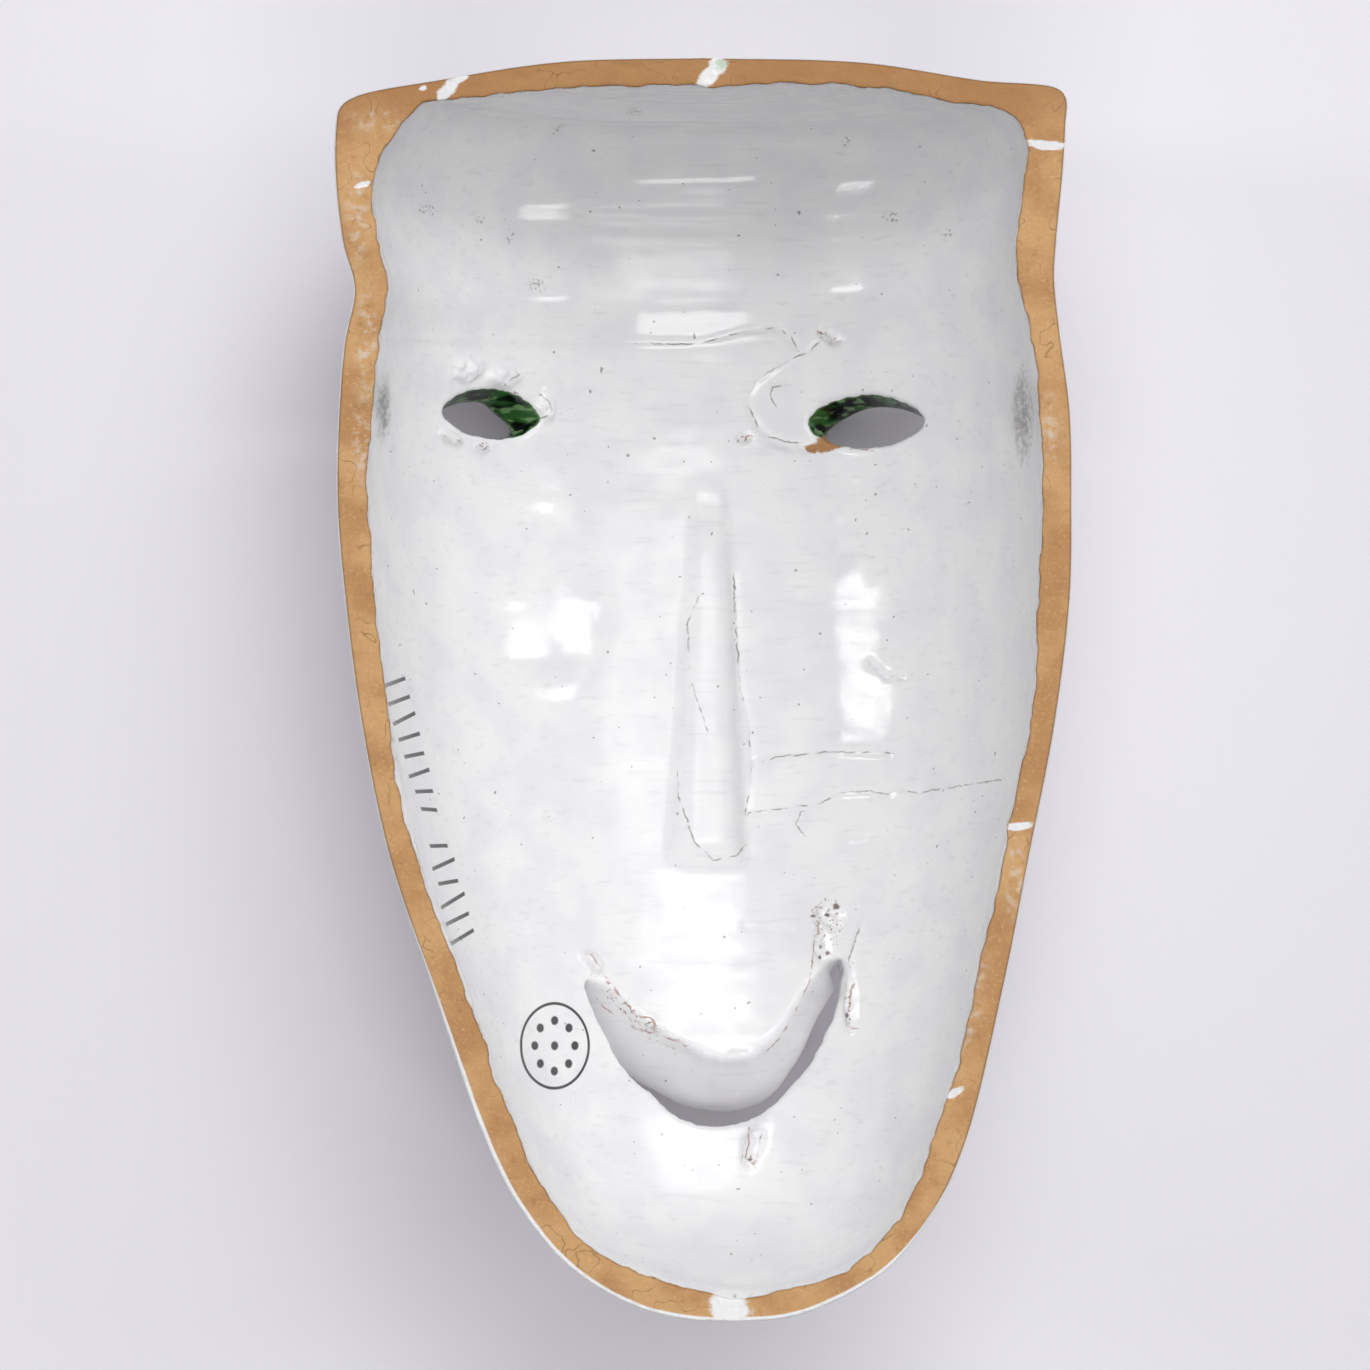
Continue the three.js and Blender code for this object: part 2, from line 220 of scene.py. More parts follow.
# Lumps of clay and glaze inside, as the photograph's pixels: middle, half sizes, turn and height
LUMPS = {
    "over the left eye, left": (466, 370, 20, 14, 15, 1.0),
    "over the left eye, right": (503, 377, 20, 12, 0, 1.2),
    "beside the left eye": (547, 408, 9, 17, 0, 0.9),
    "under the left eye": (449, 437, 14, 7, -25, 0.9),
    "crumbs under the left eye": (481, 447, 8, 6, 0, 0.7),
    "over the right eye": (830, 337, 15, 6, -22, 1.4),
    "by the nose": (745, 438, 9, 5, 10, 0.9),
    "corner of the mouth": (829, 918, 18, 16, 0, 1.0),
    "above the corner": (822, 948, 11, 22, 5, 0.8),
    "beside the mouth": (852, 1003, 8, 28, 0, 1.0),
    "under the mouth": (754, 1148, 12, 24, -18, 1.0),
    "left corner of the mouth": (592, 962, 16, 9, -45, 1.0),
    "under the ring": (790, 446, 26, 6, -8, 0.5),
    "flake on the lip": (741, 1056, 18, 5, 5, 0.8),
}

# Nicks and dents in the flat rim, in the same way but with a depth
NICKS = {
    "left side": (361, 418, 12, 16, 0, 0.7),
    "left corner": (362, 184, 9, 6, 25, 0.6),
    "crown": (628, 67, 16, 5, -8, 0.5),
    "crown, left": (520, 78, 12, 5, 10, 0.4),
    "right corner": (1045, 300, 10, 14, 0, 0.4),
    "right side": (1052, 560, 8, 24, 0, 0.4),
    "lower right": (950, 1092, 10, 8, 30, 0.5),
    "lower left": (482, 1110, 9, 20, -20, 0.4),
}

# Paint in the photograph's pixels: middle, half sizes and turn in degrees of each spot.
# The mesh stores how far the nearest spot of a paint is.
PAINT = {
    "white_runs": [
        (710, 74, 22, 7, 40), (718, 65, 9, 8, 0), (448, 90, 7, 12, -35), (459, 79, 11, 3, 10),
        (423, 88, 5, 3, 20), (1044, 145, 22, 5, -2), (1021, 827, 14, 4, 15), (955, 1092, 10, 4, 30),
        (731, 1308, 20, 20, 0), (362, 184, 8, 3, 25),
    ],
    "smears": [
        (356, 215, 12, 50, 0), (367, 345, 12, 60, 0), (362, 440, 10, 45, 0), (1014, 878, 12, 42, 0),
        (1050, 430, 10, 40, 0), (972, 1005, 10, 60, -14), (378, 120, 28, 12, 0),
    ],
    "grey_patches": [(1023, 415, 9, 42, 0), (383, 413, 7, 28, 0)],
    "bare_spots": [(828, 443, 13, 8, 15), (812, 448, 7, 4, 0)],
    "speckled": [
        (829, 922, 16, 26, 0), (632, 1012, 52, 8, -44), (750, 1162, 8, 8, 0), (745, 438, 9, 4, 0),
        (830, 337, 13, 4, -20), (481, 447, 8, 6, 0), (852, 1010, 4, 20, 0),
    ],
    # Green in the run over the crown
    "tints": [(722, 62, 6, 8, 0)],
    "crumbs": [
        (561, 129, 7, 3, 25), (845, 144, 5, 5, 0), (430, 210, 10, 5, -10), (510, 236, 4, 8, -20),
        (481, 220, 5, 4, 0), (537, 286, 10, 6, -20), (890, 217, 9, 6, 0), (948, 233, 8, 4, 0),
        (634, 114, 9, 4, 0),
    ],
    "dark_specks": [
        (837, 907, 3, 3.5, 0), (829, 916, 2.6, 2.2, 0), (813, 916, 3.4, 1.5, 0), (821, 947, 2, 2, 0),
        (829, 954, 2.2, 2, 0), (821, 958, 2, 2, 0), (850, 1017, 2.6, 3, 0), (751, 1163, 3, 2, 0),
    ],
}
# The plain ring: its middle, half sizes and dots. The strokes: their line's ends, how many places for one
# there are on it, which place is left empty, and the seed of their leans.
RING_PLACE = (554, 1046, 36, 45)
RING_DOTS = 8
STROKE_LINE = ((393, 673), (465, 946))
STROKES = 15
STROKE_GAP = 8
STROKE_SEED = 393

# Waves of the thrower's fingers, as length and height, and other unevenness as size, height and seed
THROWING_WAVES = [(5.1, 0.03), (7.7, 0.05), (11.3, 0.08), (17, 0.12)]
UNEVENNESS = [(34, 0.5, 21.0), (12, 0.17, 31.0), (5, 0.06, 33.0)]
RIM_WANDER = [(19, 1.3, 0), (5, 0.7, 5), (2.2, 0.4, 7)]

# Throwing rings that stand out, as heights up the mask with their rise and width
RINGS = [(137.6, 0.2, 1.8), (131.2, 0.42, 1.5), (125.0, 0.5, 1.5)]

# Soft lights: lean from overhead towards +X and +Y in degrees, distance and size in metres, brightness
LIGHTS = {
    "key": (8, 31, 2.6, (1.3, 0.36), 3.6),
    "key_wide": (10, 33, 2.6, (1.9, 0.9), 1.5),
    "key_low": (22, 48, 2.6, (1.6, 0.7), 2),
    "overhead": (3, -21, 2.6, (1.8, 0.5), 5.5),
    "top": (6, 4, 2.6, (1.0, 0.5), 2),
    "top_right": (28, 14, 2.6, (0.8, 0.8), 1.2),
    "right": (60, 13, 2.4, (0.75, 0.34), 6.5),
    "left": (-64, 20, 2.4, (1.0, 0.34), 8.5),
}
KEY_WAY = (0.17, 0.54, 0.84)
AIM_HEIGHT = 0.05
FLOOR_HALF = 3


def plan(px, py):
    """A pixel of the photograph as millimetres in the rim plane."""
    return np.array([(px - AXIS_PIXEL[0]) * PLAN_SCALE, (AXIS_PIXEL[1] - py) * PLAN_SCALE])


CAMERA = plan(FRAME_PIXELS / 2, FRAME_PIXELS / 2)


def seen_plan(x, y, depth):
    """Where the camera sees a place at that depth, in millimetres in the rim plane."""
    shrink = 1 / (1 + depth / CAMERA_HEIGHT)
    return CAMERA[0] + (x - CAMERA[0]) * shrink, CAMERA[1] + (y - CAMERA[1]) * shrink


def smoothstep(value, low, high):
    share = np.clip((value - low) / (high - low), 0, 1)
    return share * share * (3 - 2 * share)


def spline(points, places):
    """A centripetal Catmull-Rom curve through points, at places from 0 to 1."""
    points = np.asarray(points, float)
    padded = np.vstack([2 * points[0] - points[1], points, 2 * points[-1] - points[-2]])
    scaled = np.asarray(places) * (len(points) - 1)
    first = np.clip(scaled.astype(int), 0, len(points) - 2)
    t = (scaled - first)[:, None]
    p0, p1, p2, p3 = (padded[first + k] for k in range(4))
    step = [np.sqrt(np.linalg.norm(b - a, axis=1))[:, None] for a, b in ((p0, p1), (p1, p2), (p2, p3))]
    step[0] = np.where(step[0] < 1e-4, step[1], step[0])
    step[2] = np.where(step[2] < 1e-4, step[1], step[2])
    d0, d1, d2 = step
    start = ((p1 - p0) / d0 - (p2 - p0) / (d0 + d1) + (p2 - p1) / d1) * d1
    end = ((p2 - p1) / d1 - (p3 - p1) / (d1 + d2) + (p3 - p2) / d2) * d1
    cubic = 2 * p1 - 2 * p2 + start + end
    square = -3 * p1 + 3 * p2 - 2 * start - end
    return p1 + start * t + square * t**2 + cubic * t**3


class Shell:
    """One side of the wall as half rings across the mask, from the crown to the chin."""

    SAMPLES = 2400

    def __init__(self, stations):
        stations = np.asarray(stations, float)
        self.s = np.linspace(0, 1, self.SAMPLES)
        left = spline(stations[:, :2], self.s)
        right = spline(stations[:, 2:], self.s)
        self.x = (left[:, 0] + right[:, 0]) / 2
        self.y = (left[:, 1] + right[:, 1]) / 2
        self.half = (right[:, 0] - left[:, 0]) / 2
        self.tilt = (right[:, 1] - left[:, 1]) / 2
        run = np.hypot(np.diff(self.y), ROUNDNESS * np.diff(self.half))
        self.walk = np.concatenate([[0], np.cumsum(run)])

    def ring(self, s):
        return [np.interp(s, self.s, column) for column in (self.x, self.y, self.half, self.tilt)]

    def place(self, flat):
        """Places on the smooth form from its unrolled sheet, as x, y and depth."""
        s = np.interp(flat[:, 1], self.walk, self.s)
        x, y, half, tilt = self.ring(s)
        angle = np.clip(flat[:, 0] / np.maximum(half, 1e-6), -math.pi / 2, math.pi / 2)
        across = np.sin(angle)
        return x + half * across, y + tilt * across, ROUNDNESS * half * np.cos(angle)

    def locate(self, x, y):
        """How far down the mask, from 0 to 1, the form passes under a place."""
        low = np.zeros_like(x)
        high = np.ones_like(x)
        for _ in range(34):
            middle = (low + high) / 2
            cx, cy, half, tilt = self.ring(middle)
            over = cy + tilt * (x - cx) / np.maximum(half, 1e-6) > y
            low = np.where(over, middle, low)
            high = np.where(over, high, middle)
        return (low + high) / 2

    def unroll(self, x, y):
        s = self.locate(x, y)
        cx, _, half, _ = self.ring(s)
        angle = np.arcsin(np.clip((x - cx) / half, -1, 1))
        return np.stack([angle * half, np.interp(s, self.s, self.walk)], 1)

    def depth(self, x, y):
        cx, _, half, _ = self.ring(self.locate(x, y))
        return ROUNDNESS * half * np.sqrt(1 - np.clip((x - cx) / half, -1, 1) ** 2)

    def edge(self, spacing):
        """The rim as a closed loop on the unrolled sheet, down the right side and back up."""
        sides = []
        for side in (1, -1):
            x = self.x + side * self.half
            y = self.y + side * self.tilt
            run = np.concatenate([[0], np.cumsum(np.hypot(np.diff(x), np.diff(y)))])
            count = round(run[-1] / spacing)
            s = np.interp(np.linspace(0, run[-1], count + 1), run, self.s)
            half = np.interp(s, self.s, self.half)
            sides.append(np.stack([side * math.pi / 2 * half, np.interp(s, self.s, self.walk)], 1))
        return np.vstack([sides[0], sides[1][-2:0:-1]])


OUTER = Shell(OUTER_EDGE)
INNER = Shell(INNER_EDGE)


def smooth_max(a, b, blend):
    overlap = np.maximum(blend - np.abs(a - b), 0) / blend
    return np.maximum(a, b) + overlap**2 * blend / 4


def from_segment(x, y, start, end):
    """The way to each place from the nearest one of a segment, and the segment's own way."""
    (ax, ay), (bx, by) = start, end
    dx, dy = bx - ax, by - ay
    t = np.clip(((x - ax) * dx + (y - ay) * dy) / (dx * dx + dy * dy), 0, 1)
    return x - ax - t * dx, y - ay - t * dy, dx, dy


def line_distance(x, y, line, closed=False):
    """Distance in the plan from places to a line of points."""
    least = np.full(np.shape(x), FAR_AWAY)
    for start, end in zip(line, line[1:] + line[:1] if closed else line[1:]):
        ex, ey, _, _ = from_segment(x, y, start, end)
        least = np.minimum(least, np.hypot(ex, ey))
    return least


def inside(x, y, loop):
    """Which places lie inside a closed loop of points."""
    result = np.zeros(np.shape(x), bool)
    for (ax, ay), (bx, by) in zip(loop, np.roll(loop, -1, axis=0)):
        if ay != by:
            result ^= ((ay > y) != (by > y)) & (x < ax + (bx - ax) * (y - ay) / (by - ay))
    return result


def mouth_way(x, y):
    across = (x - FLARE["x"]) * np.where(x < FLARE["x"], FLARE["left"], FLARE["right"])
    share = smoothstep(-y, -FLARE["corner_y"], -FLARE["middle_y"])
    return across, FLARE["corner"] + share * (FLARE["middle"] - FLARE["corner"])


def lip_outline():
    points = []
    for x, y in MOUTH_LOWER + MOUTH_UPPER:
        across, down = mouth_way(x, y)
        points.append((float(x + across * LIP["depth"]), float(y + down * LIP["depth"])))
    return points


LIPS = lip_outline()


def mound(x, y, middle_x, middle_y, half_x, half_y):
    """A soft swelling's share of its height: one at its middle, none beyond its half sizes."""
    return np.clip(1 - ((x - middle_x) / half_x) ** 2 - ((y - middle_y) / half_y) ** 2, 0, 1) ** 2


def outer_depth(x, y, plain):
    near = np.minimum(plain / 25, 1)
    distance = np.where(inside(x, y, np.array(LIPS)), 0, line_distance(x, y, LIPS, closed=True))
    lip = LIP["rise"] * np.clip(1 - (distance / LIP["reach"]) ** 2, 0, 1) ** 2
    depth = plain + near * lip
    for *place, rise in SWELLINGS:
        depth = depth + near * rise * mound(x, y, *place)
    beside = np.maximum(np.abs(x - NOSE["x"]) - NOSE["flat"], 0)
    above = smoothstep(y, NOSE["bridge"], NOSE["root"])
    below = 1 - smoothstep(y, NOSE["under"], NOSE["tip"])
    fall = np.maximum(above, below) * (REST_DEPTH + 2 - depth + NOSE["blend"])
    ridge = REST_DEPTH + 1 - NOSE["slope"] * beside - beside**2 / NOSE["spread"] - fall
    return np.minimum(smooth_max(depth, ridge, NOSE["blend"]), REST_DEPTH)


def inner_depth(x, y, plain):
    for *place, thick in CHEEKS:
        plain = plain - thick * mound(x, y, *place)
    along = np.clip((TROUGH["root"] - y) / (TROUGH["root"] - TROUGH["end"]), 0, 1)
    half = TROUGH["root_half"] + along * (TROUGH["end_half"] - TROUGH["root_half"])
    deep = TROUGH["root_depth"] + along * (TROUGH["end_depth"] - TROUGH["root_depth"])
    start = smoothstep(TROUGH["root"] - y, 0, 25)
    end = smoothstep(y - TROUGH["end"], -3, 6)
    aside = x - TROUGH["x"]
    share = np.clip(np.where(aside < 0, aside / -1.2, aside / 0.88) / half, 0, 1)
    return plain + deep * start * end * (1 - share**4) ** 1.5


def resample(points, spacing):
    """A closed loop of points at even distances."""
    points = np.vstack([points, points[:1]])
    run = np.concatenate([[0], np.cumsum(np.linalg.norm(np.diff(points, axis=0), axis=1))])
    count = round(run[-1] / spacing)
    where = np.linspace(0, run[-1], count, endpoint=False)
    return np.stack([np.interp(where, run, points[:, k]) for k in (0, 1)], 1)


def outward(loop):
    """The ways straight across a closed loop at its points."""
    ahead = np.roll(loop, -1, axis=0) - np.roll(loop, 1, axis=0)
    return np.stack([ahead[:, 1], -ahead[:, 0]], 1) / np.linalg.norm(ahead, axis=1)[:, None]


def roughened(loop, size, amount, seed):
    """A loop with small uneven steps in and out, as a knife leaves in soft clay."""
    shift = np.array([noise.noise(Vector((x / size, y / size, seed))) for x, y in loop])
    return loop + outward(loop) * (amount * shift)[:, None]


def eye_loop(eye):
    angle = np.linspace(0, 2 * math.pi, 120, endpoint=False)
    rise = np.where(np.sin(angle) > 0, eye["above"], eye["below"])
    up = rise * np.sign(np.sin(angle)) * np.abs(np.sin(angle)) ** 1.25
    along = eye["half"] * np.cos(angle)
    loop = np.stack([eye["x"] + along - eye["tilt"] * up, eye["y"] + up + eye["tilt"] * along], 1)
    return resample(loop, FINE_SPACING)


def mouth_loop():
    steps = np.linspace(0, 1, 120)
    loop = np.vstack([spline(MOUTH_LOWER, steps), spline(MOUTH_UPPER, steps)])
    return resample(loop, FINE_SPACING)


def eye_aside(eye, loop):
    """The wall towards the nose and over the eye is left thick."""
    nose_side = -1 if eye["x"] > 0 else 1
    near = smoothstep(nose_side * (loop[:, 0] - eye["x"]) / eye["half"], -0.1, 0.8)
    above = smoothstep(loop[:, 1] - eye["y"], -2, 4)
    return np.stack([-nose_side * eye["thick"] * near, -1.2 * above - 0.8 * near], 1)


def mouth_aside(loop):
    """The upper lip hangs lower in front, most of all on the left."""
    left, right = MOUTH_UPPER[-1], MOUTH_UPPER[0]
    x, y = loop.T
    upper = y > np.interp(x, *zip(*MOUTH_MIDDLE))
    from_left, from_right = (np.hypot(*(loop - corner).T) for corner in (left, right))
    share = upper * smoothstep(from_left, 0, 7) * smoothstep(from_right, 0, 4)
    more = 1.6 * smoothstep(-x, -6, 22)
    leftward = 1.6 + smoothstep(-x, -22, -6) + more
    # The right corner is cut straight down, so that the wall of the lower lip shows there
    upright = np.where(upper, smoothstep(x, 29, 37), 1)
    shown = 0.33 * np.maximum(x - 8, 0) * upright
    return np.stack([-leftward * share - shown, -(2.2 + more) * share], 1)


class Hole:
    """A hole's edges: the uneven loop on the inside, and where its cut leaves the outside."""

    def __init__(self, loop, way, unevenness, aside):
        x, y = loop.T
        self.loop = roughened(loop, *unevenness)
        across, down = way
        start = inner_depth(x, y, INNER.depth(x, y))
        travel = np.full_like(x, 12.0)
        for _ in range(40):
            ox = x + across * travel
            oy = y + down * travel
            reach = outer_depth(ox, oy, OUTER.depth(ox, oy)) - start
            travel = travel + 0.5 * (reach - travel)
        self.far = np.stack([x + across * travel, y + down * travel], 1) + aside


HOLES = []
for eye in EYES:
    loop = eye_loop(eye)
    HOLES.append(Hole(loop, eye["way"], EYE_UNEVENNESS, eye_aside(eye, loop)))
loop = mouth_loop()
HOLES.append(Hole(loop, mouth_way(*loop.T), MOUTH_UNEVENNESS, mouth_aside(loop)))


def hexagonal(low, high, spacing):
    rows = np.arange(low[1], high[1], spacing * math.sqrt(3) / 2)
    columns = np.arange(low[0], high[0], spacing)
    x, y = np.meshgrid(columns, rows)
    x = x + (np.arange(len(rows)) % 2)[:, None] * spacing / 2
    return np.stack([x.ravel(), y.ravel()], 1)


def apart(points, targets):
    """Distance from each point to the nearest of the targets, in the plan or in space."""
    least = np.empty(len(points))
    for start in range(0, len(points), CHUNK):
        part = points[start:start + CHUNK, None, :]
        least[start:start + CHUNK] = np.sqrt(((part - targets[None]) ** 2).sum(2)).min(1)
    return least


def between(points, outline, holes):
    """Which points lie inside the outline and in none of its holes."""
    keep = inside(*points.T, outline)
    for hole in holes:
        keep &= ~inside(*points.T, hole)
    return keep


def fill(outline, holes, spacing, is_fine=None):
    """Points and triangles between a loop and the holes in it. The loops' points come first."""
    loops = [outline, *holes]
    edge_points = np.vstack(loops)
    low, high = outline.min(0), outline.max(0)
    points = hexagonal(low, high, spacing)
    if is_fine is not None:
        finer = hexagonal(low, high, FINE_SPACING)
        points = np.vstack([points[~is_fine(points)], finer[is_fine(finer)]])
    points = points[apart(points, edge_points) > EDGE_ROW + 0.6 * FINE_SPACING]
    rows = np.vstack([loop + outward(loop) * far for loop in loops for far in (EDGE_ROW, -EDGE_ROW)])
    rows = rows[apart(rows, edge_points) > 0.8 * EDGE_ROW]
    points = np.vstack([points, rows])
    points = points[between(points, outline, holes)]
    edges = []
    start = 0
    for loop in loops:
        edges += [(start + k, start + (k + 1) % len(loop)) for k in range(len(loop))]
        start += len(loop)
    everything = np.vstack([edge_points, points])
    # Type 1 fills the outline and its holes too. A triangle in a hole has all its corners on the loops.
    out = delaunay_2d_cdt([Vector(p) for p in everything], edges, [], 1, 1e-7)
    source = np.array([ids[0] for ids in out[3]])
    triangles = source[np.array(out[2])]
    doubtful = np.flatnonzero((triangles < len(edge_points)).all(1))
    middle = everything[triangles[doubtful]].mean(1)
    chosen = np.ones(len(triangles), bool)
    chosen[doubtful[~between(middle, outline, holes)]] = False
    return everything, triangles[chosen]


def turned(points, triangles, up):
    """Triangles of the flat sheet, all facing up or all facing down."""
    a, b, c = (points[triangles[:, k]] for k in range(3))
    area = (b[:, 0] - a[:, 0]) * (c[:, 1] - a[:, 1]) - (b[:, 1] - a[:, 1]) * (c[:, 0] - a[:, 0])
    wrong = (area > 0) != up
    result = triangles.copy()
    result[wrong] = triangles[wrong][:, ::-1]
    return result


RIDGE_LINES = []
CREASE_LINES = []
for rise, width, tone, pixels in LINES.values():
    line = [tuple(plan(*pixel)) for pixel in pixels]
    if rise:
        RIDGE_LINES.append((rise, width, line))
    if tone is not None:
        CREASE_LINES.append((tone, line))


def in_spot(u, v, place):
    """How far from a spot's middle a seen place is, one at its edge."""
    px, py, half_x, half_y, turn = place[:5]
    x, y = plan(px, py)
    c, s = math.cos(math.radians(turn)), math.sin(math.radians(turn))
    along = (u - x) * c + (v - y) * s
    across = (v - y) * c - (u - x) * s
    return np.hypot(along / (half_x * PLAN_SCALE), across / (half_y * PLAN_SCALE))


def crease_marks(u, v):
    """The side and distance of the nearest crease, how near it is, and whether it is brown clay rather than
    grey painted shade.
    """
    least = np.full(u.shape, FAR_AWAY)
    side = np.ones(u.shape)
    brown = np.zeros(u.shape)
    for tone, line in CREASE_LINES:
        for start, end in zip(line, line[1:]):
            ex, ey, dx, dy = from_segment(u, v, start, end)
            far = np.hypot(ex, ey)
            nearer = far < least
            least = np.where(nearer, far, least)
            side = np.where(nearer, np.where(dx * ey > dy * ex, 1.0, -1.0), side)
            brown = np.where(nearer, tone, brown)
    return side * np.minimum(least, 5), 1 - smoothstep(least, 0.8, 1.5), brown


def by_hole(x, y, loops):
    """Which places are near the edge of a hole."""
    return np.any([line_distance(x, y, [tuple(point) for point in loop[::3]], closed=True) < FINE_BY_HOLE
                   for loop in loops], axis=0)


def fine_inside(flat):
    """Where the inside needs fine facets: by its raised lines, its rings and its holes."""
    x, y, depth = INNER.place(flat)
    u, v = seen_plan(x, y, depth)
    fine = np.zeros(len(flat), bool)
    for _, width, line in RIDGE_LINES:
        fine |= line_distance(u, v, line) < width
    for _, line in CREASE_LINES:
        fine |= line_distance(u, v, line) < 1.1
    for place in LUMPS.values():
        fine |= in_spot(u, v, place) < 1.1
    low, high = FINE_LEVELS
    fine |= (np.abs(x) < FINE_ASIDE) & (y > low) & (y < high)
    return fine | by_hole(x, y, [hole.loop for hole in HOLES])


def fine_outside(flat):
    x, y, _ = OUTER.place(flat)
    return by_hole(x, y, [hole.far for hole in HOLES])


class Surface:
    """Grows one closed mesh: vertices, triangles, and what each vertex belongs to."""

    def __init__(self):
        self.vertices = []
        self.triangles = []
        self.kinds = []
        self.count = 0

    def add(self, points, kind):
        first = self.count
        self.vertices.append(points)
        self.kinds.append(np.full(len(points), kind))
        self.count += len(points)
        return np.arange(first, self.count)

    def join(self):
        return np.vstack(self.vertices), np.vstack(self.triangles), np.concatenate(self.kinds)


IN, OUT, RIM, CUT = range(4)


def build_surface():
    surface = Surface()
    loops = {}
    for kind, shell, depth_of, spacing, fine in (
        (IN, INNER, inner_depth, INNER_SPACING, fine_inside),
        (OUT, OUTER, outer_depth, OUTER_SPACING, fine_outside),
    ):
        rim = shell.edge(RIM_SPACING)
        edges = [shell.unroll(*(hole.loop if kind == IN else hole.far).T) for hole in HOLES]
        flat, triangles = fill(rim, edges, spacing, fine)
        x, y, plain = shell.place(flat)
        depth = depth_of(x, y, plain)
        depth[: len(rim)] = 0
        index = surface.add(np.stack([x, y, depth], 1), kind)
        # The unrolled sheet runs down the mask, so its turns are the plan's turned over
        surface.triangles.append(index[turned(flat, triangles, up=(kind == OUT))])
        marks = np.cumsum([0, len(rim), *(len(edge) for edge in edges)])
        loops[kind] = [index[a:b] for a, b in zip(marks, marks[1:])]
    points = np.vstack(surface.vertices)
    outer_rim, inner_rim = loops[OUT][0], loops[IN][0]
    flat, triangles = fill(points[outer_rim][:, :2], [points[inner_rim][:, :2]], RIM_SPACING)
    loop_count = len(outer_rim) + len(inner_rim)
    new = flat[loop_count:]
    index = surface.add(np.column_stack([new, np.zeros(len(new))]), RIM)
    ids = np.concatenate([outer_rim, inner_rim, index])
    surface.triangles.append(ids[turned(flat, triangles, up=True)])
    return surface, loops


def add_walls(surface, loops):
    """The cut walls of the holes, from their inner edges to their outer ones."""
    points = np.vstack(surface.vertices)
    for inner, outer in zip(loops[IN][1:], loops[OUT][1:]):
        rows = [inner]
        for step in range(1, WALL_ROWS):
            share = step / WALL_ROWS
            rows.append(surface.add(points[inner] * (1 - share) + points[outer] * share, CUT))
        rows.append(outer)
        for near, far in zip(rows, rows[1:]):
            near_next, far_next = np.roll(near, -1), np.roll(far, -1)
            surface.triangles.append(np.stack([near, near_next, far_next], 1))
            surface.triangles.append(np.stack([near, far_next, far], 1))


def edges_of(triangles):
    pairs = np.vstack([triangles[:, (0, 1)], triangles[:, (1, 2)], triangles[:, (2, 0)]])
    return np.unique(np.sort(pairs, axis=1), axis=0)


def relaxed(points, edges, weight, rounds):
    """Points drawn towards their neighbours, each by its own weight, which rounds sharp edges."""
    degree = np.bincount(edges.ravel(), minlength=len(points))[:, None]
    for _ in range(rounds):
        total = np.zeros_like(points)
        for k in range(3):
            total[:, k] += np.bincount(edges[:, 0], points[edges[:, 1], k], len(points))
            total[:, k] += np.bincount(edges[:, 1], points[edges[:, 0], k], len(points))
        points = points + (total / degree - points) * weight[:, None]
    return points


def normals_of(points, triangles):
    a, b, c = (points[triangles[:, k]] for k in range(3))
    cross = np.cross(b - a, c - a)
    result = np.zeros_like(points)
    for k in range(3):
        for axis in range(3):
            result[:, axis] += np.bincount(triangles[:, k], cross[:, axis], len(points))
    return result / np.maximum(np.linalg.norm(result, axis=1), 1e-9)[:, None]


def ripple(values, waves, seed):
    """A smooth uneven line made of a few waves: (length, height) each."""
    phases = np.random.default_rng(seed).uniform(0, 2 * math.pi, len(waves))
    return sum(height * np.sin(2 * math.pi * values / length + phase)
               for (length, height), phase in zip(waves, phases))


def cloud(points, size, seed):
    """Soft noise from -1 to 1 at places in space."""
    return np.array([noise.noise(Vector(place)) for place in points / size + seed])


def clouds(points, layers, seed=0.0):
    """Soft noise of several sizes together: (size, height, seed) each."""
    return sum(height * cloud(points, size, seed + own) for size, height, own in layers)


